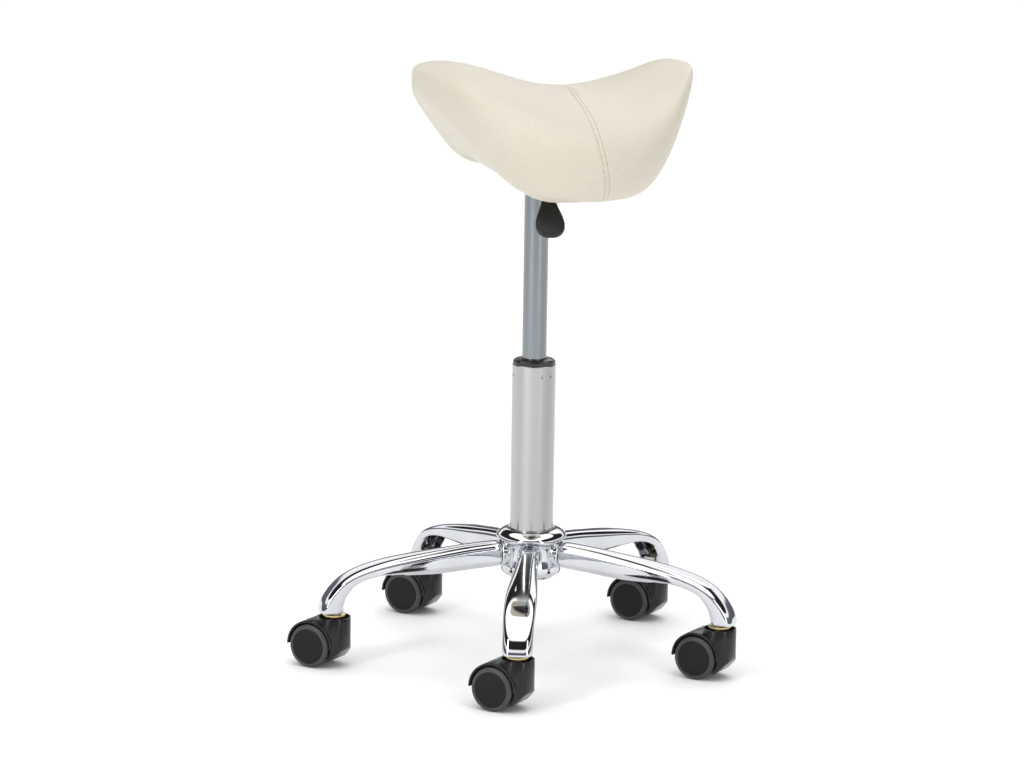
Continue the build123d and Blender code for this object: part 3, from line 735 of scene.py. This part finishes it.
def closed_curve(points, per_span):
    """A smooth closed cubic through the points, sampled per_span[i] times in span i."""
    count = len(points)
    after = np.roll(points, -1, axis=0)
    step = np.maximum(np.linalg.norm(after - points, axis=1), 1e-6)
    before = np.roll(step, 1)
    matrix = np.zeros((count, count))
    right = np.zeros((count, 2))
    slope = (after - points) / step[:, None]
    for i in range(count):
        matrix[i, (i - 1) % count] = step[i]
        matrix[i, i] = 2 * (step[i] + before[i])
        matrix[i, (i + 1) % count] = before[i]
        right[i] = 3 * (before[i] * slope[i] + step[i] * slope[i - 1])
    tangent = np.linalg.solve(matrix, right)
    out = []
    for i in range(count):
        a, b, h = points[i], after[i], step[i]
        ta, tb = tangent[i], tangent[(i + 1) % count]
        for k in range(per_span[i]):
            t = k / per_span[i]
            out.append(
                (2 * t**3 - 3 * t**2 + 1) * a + (t**3 - 2 * t**2 + t) * h * ta
                + (3 * t**2 - 2 * t**3) * b + (t**3 - t**2) * h * tb
            )
    return np.array(out)


SPANS = [18] * 8 + [12, 10] + [8] * 5 + [10, 12]
AROUND = sum(SPANS)
SEAM_PLACE = (SEAM_AT - MIDDLE) / HALF_LENGTH
BESIDE_SEAM = [0.9, 1.7, 2.1, 2.4, 2.7, 3.0, 3.4, 4.2, 5.4, 7, 10, 14]
NEAR_SEAM = [0] + BESIDE_SEAM + [-d for d in BESIDE_SEAM]
places = [math.sin(math.radians(a)) * 0.9995 for a in np.linspace(-88.5, 88.5, 66)]
places = [p for p in places if abs(p - SEAM_PLACE) * HALF_LENGTH > 17]
places += [SEAM_PLACE + d / HALF_LENGTH for d in NEAR_SEAM]
places.sort()
RINGS = len(places)
print("cushion grid", RINGS, "rings of", AROUND)

# %% [markdown]
# ### Seam and stitching
# The seam is a flat band between two fine pressed lines, with slight swells beside it, and
# a row of thread lies in each line. It bows towards the rear on its way down the sides. A
# table of closely spaced sections is made first, and every ring near the seam reads it a
# little further forward or back, so the seam bows and the seat keeps its shape.

# %% Cushion mesh
SEAM_LINE = 2.55
LINE_DEPTH = 0.62
LINE_WIDTH = 0.45
SWELL = 0.35
PUCKER_PITCH = 8.5
SEAM_BEND = [(0, 4), (0.2, -5), (0.45, -9), (0.7, -10), (0.85, -7.5), (1, -4), (1.35, 0)]
BEND_REACH = 110.0


def outward(curve):
    """Unit normals of a closed section curve, pointing away from the foam."""
    ahead = np.roll(curve, -1, axis=0) - np.roll(curve, 1, axis=0)
    ahead /= np.maximum(np.linalg.norm(ahead, axis=1), 1e-9)[:, None]
    return np.stack([-ahead[:, 1], ahead[:, 0]], axis=1)


def lengths(curve):
    return np.concatenate([[0], np.cumsum(np.linalg.norm(np.diff(curve, axis=0), axis=1))])


TABLE_PLACES = np.sin(np.radians(np.linspace(-88.5, 88.5, 260))) * 0.9995
TABLE = np.array([closed_curve(section_points(p), SPANS) for p in TABLE_PLACES])
OVER = sum(SPANS[:8])
FROM_CROWN = np.abs(np.arange(AROUND) - OVER / 2) / (OVER / 2)
BEND = np.interp(FROM_CROWN, *zip(*SEAM_BEND))
for _ in range(30):
    BEND = (np.roll(BEND, 1) + BEND + np.roll(BEND, -1)) / 3


def seat_ring(place):
    """One ring of the cushion as 3-D points, with the seam's lines pressed in."""
    away = (place - SEAM_PLACE) * HALF_LENGTH
    near = max(0.0, 1 - (away / BEND_REACH) ** 2) ** 2
    moved = place + BEND * near / HALF_LENGTH
    index = np.interp(moved, TABLE_PLACES, np.arange(len(TABLE_PLACES)))
    low = np.clip(index.astype(int), 0, len(TABLE_PLACES) - 2)
    share = (index - low)[:, None]
    column = np.arange(AROUND)
    curve = TABLE[low, column] * (1 - share) + TABLE[low + 1, column] * share
    line = -LINE_DEPTH * math.exp(-(((abs(away) - SEAM_LINE) / LINE_WIDTH) ** 2))
    swell = SWELL * (math.exp(-((away / 1.9) ** 2)) + math.exp(-(((abs(away) - 6.5) / 3.0) ** 2)))
    pucker = 0.1 * np.cos(2 * math.pi * lengths(curve) / PUCKER_PITCH)
    pucker *= math.exp(-(((abs(away) - 5.0) / 2.5) ** 2))
    curve = curve + outward(curve) * (line + swell + pucker)[:, None]
    return np.stack([curve[:, 0], -(MIDDLE + HALF_LENGTH * moved), curve[:, 1]], axis=1)


grid = np.array([seat_ring(place) for place in places])
poles = [grid[0].mean(axis=0), grid[-1].mean(axis=0)]

deselect()
bpy.ops.mesh.primitive_uv_sphere_add(
    segments=AROUND, ring_count=RINGS + 1, radius=1, rotation=(math.pi / 2, 0, 0),
)
cushion = bpy.context.active_object
bpy.ops.object.transform_apply(location=True, rotation=True, scale=True)
start_angle = math.atan2(-1.0, 0.0)
for vertex in cushion.data.vertices:
    x, y, z = vertex.co
    k = round(math.acos(max(-1.0, min(1.0, y))) / math.pi * (RINGS + 1))
    if k == 0 or k == RINGS + 1:
        vertex.co = Vector(poles[0 if k == 0 else 1]) * MM
        continue
    j = round((math.atan2(x, z) - start_angle) / (2 * math.pi) * AROUND) % AROUND
    vertex.co = Vector(grid[k - 1, j]) * MM
clean(cushion)
print("cushion", len(cushion.data.polygons), "faces")

# %% Cover under the seat
CLOTH_WIDE, CLOTH_LONG = 126 * MM, 104 * MM


def under_region(obj):
    """Select the faces of the hollow underside inside the stapled oval."""
    mesh = bmesh.from_edit_mesh(obj.data)
    for face in mesh.faces:
        middle = face.calc_center_median()
        across, along = middle.x / CLOTH_WIDE, (middle.y + MIDDLE * MM) / CLOTH_LONG
        inside = across ** 2 + along ** 2 < 1
        face.select = not (inside and face.normal.z < -0.1)
    bmesh.update_edit_mesh(obj.data)


under = copied(cushion)
editing(under, "FACE")
under_region(under)
bpy.ops.mesh.delete(type="FACE")
bpy.ops.mesh.select_all(action="SELECT")
bpy.ops.transform.shrink_fatten(value=-1.0 * MM)
bpy.ops.object.mode_set(mode="OBJECT")
apply_modifier(under, "SOLIDIFY", thickness=1.0 * MM, offset=0.0)
finished(under, "underside_cloth", "seat", UNDER_CLOTH, smooth=50)

# %% Cushion joins the frame
finished(cushion, "seat_cushion", "seat", LEATHER, ["seat_foam", "rear_cover", "front_cover"], 70)

# %% Stitches
STITCH_PITCH = 4.2
STITCH_LENGTH = 3.4
THREAD_LIFT = 0.22
STITCH_LEAN = Matrix.Rotation(math.radians(6), 4, "Z")


def stitch_row(offset):
    """Places and directions of one row of stitches, over the top from rim to rim."""
    ring = seat_ring(SEAM_PLACE + offset / HALF_LENGTH)
    normal = outward(ring[:, [0, 2]])
    path = np.concatenate([ring[-8:], ring[: OVER + 9]])
    away = np.concatenate([normal[-8:], normal[: OVER + 9]])
    along = lengths(path)
    row = []
    for at in np.arange(2.0, along[-1] - 2.0, STITCH_PITCH):
        i = min(int(np.searchsorted(along, at)), len(path) - 2)
        ahead = Vector(path[i + 1] - path[i]).normalized()
        up = Vector((away[i][0], 0, away[i][1]))
        row.append((Vector(path[i]) + up * THREAD_LIFT, ahead, up))
    return row


deselect()
bpy.ops.mesh.primitive_uv_sphere_add(segments=8, ring_count=6, radius=1)
stitch = bpy.context.active_object
stitch.scale = (STITCH_LENGTH / 2 * MM, 0.36 * MM, 0.34 * MM)
bpy.ops.object.transform_apply(location=True, rotation=True, scale=True)
threads = []
for offset in (-SEAM_LINE, SEAM_LINE):
    for spot, ahead, up in stitch_row(offset):
        side = up.cross(ahead).normalized()
        turn = Matrix((ahead, side, ahead.cross(side))).transposed().to_4x4()
        threads.append(copied(stitch, Matrix.Translation(spot * MM) @ turn @ STITCH_LEAN))
bpy.data.objects.remove(stitch)
stitching = joined(threads)
finished(stitching, "seam_stitches", "seat", THREAD, smooth=60)
clean(stitching)

# %% [markdown]
# ## Floor, light and camera
# A plain pale floor, tall soft boxes on both sides, and a bright room with a dark strip
# overhead and a grey horizon. Chrome has no colour of its own, so the strip draws the long
# lines along the legs, and the boxes draw the bright streaks down the column.

# %% Floor
deselect()
bpy.ops.mesh.primitive_plane_add(size=80)
floor = bpy.context.active_object
floor.name = "floor"
floor_finish, floor_tree, floor_shader = begin("pale_floor", 0.0, 0.2)
floor_shader.inputs["Base Color"].default_value = (0.96, 0.96, 0.96, 1)
floor_shader.inputs["Roughness"].default_value = 0.9
floor.data.materials.append(floor_finish)
bpy.context.scene.view_settings.view_transform = "Standard"

# %% Lights
VIEW_SIDE = Vector((-0.96815, 0.25038, 0))


def soft_light(name, swing, distance, height, size, power):
    """A tall soft box, swung from the camera's side round the column, in degrees."""
    deselect()
    place = Matrix.Rotation(math.radians(swing), 3, "Z") @ VIEW_SIDE * distance + Vector((0, 0, height))
    bpy.ops.object.light_add(type="AREA", location=place)
    light = bpy.context.active_object
    light.name = name
    light.data.shape = "RECTANGLE"
    light.data.size, light.data.size_y = size
    light.data.energy = power
    light.rotation_euler = (Vector((0, 0, 0.45)) - place).to_track_quat("-Z", "Y").to_euler()
    return light


soft_light("left_box", -40, 3.2, 1.5, (0.45, 2.4), 34)
soft_light("right_box", 38, 3.2, 1.3, (0.32, 2.4), 20)
soft_light("back_box", 165, 3.4, 2.4, (2.2, 1.4), 16)

world = bpy.data.worlds.new("room")
bpy.context.scene.world = world
world.use_nodes = True
room = world.node_tree
direction = node(room, "ShaderNodeTexCoord").outputs["Generated"]
split = node(room, "ShaderNodeSeparateXYZ")
room.links.new(direction, split.inputs[0])
shades = node(room, "ShaderNodeValToRGB")
room.links.new(split.outputs["Z"], shades.inputs[0])
ramp = shades.color_ramp
ramp.elements[0].position, ramp.elements[0].color = 0.0, (0.13, 0.135, 0.16, 1)
ramp.elements[1].position, ramp.elements[1].color = 1.0, (2.1, 2.1, 2.1, 1)
for position, shade in (
    (0.24, (0.16, 0.165, 0.19)), (0.29, (1.3, 1.3, 1.3)), (0.39, (1.3, 1.3, 1.3)),
    (0.42, (0.03, 0.027, 0.025)), (0.72, (0.03, 0.027, 0.025)), (0.77, (2.1, 2.1, 2.1)),
):
    element = ramp.elements.new(position)
    element.color = (*shade, 1)
room.links.new(shades.outputs[0], room.nodes["Background"].inputs["Color"])
room.nodes["Background"].inputs["Strength"].default_value = 1.0

# %% Camera
PITCH, ROLL_ANGLE = 0.1955, 0.0155
HEADING = Vector((0.96815, -0.25038, 0))
camera_data = bpy.data.cameras.new("camera")
camera_data.lens = 141.2
camera_data.sensor_width = 36.0
camera = bpy.data.objects.new("camera", camera_data)
bpy.context.collection.objects.link(camera)
forward = HEADING * math.cos(PITCH) - Vector((0, 0, math.sin(PITCH)))
level = forward.cross(Vector((0, 0, 1))).normalized()
over = level.cross(forward)
right = level * math.cos(ROLL_ANGLE) + over * math.sin(ROLL_ANGLE)
upward = over * math.cos(ROLL_ANGLE) - level * math.sin(ROLL_ANGLE)
turned = Matrix((right, upward, -forward)).transposed()
camera.matrix_world = Matrix.Translation((-4.3503, 1.1508, 1.2114)) @ turned.to_4x4()
bpy.context.scene.camera = camera
print("camera", tuple(round(v, 3) for v in camera.location))
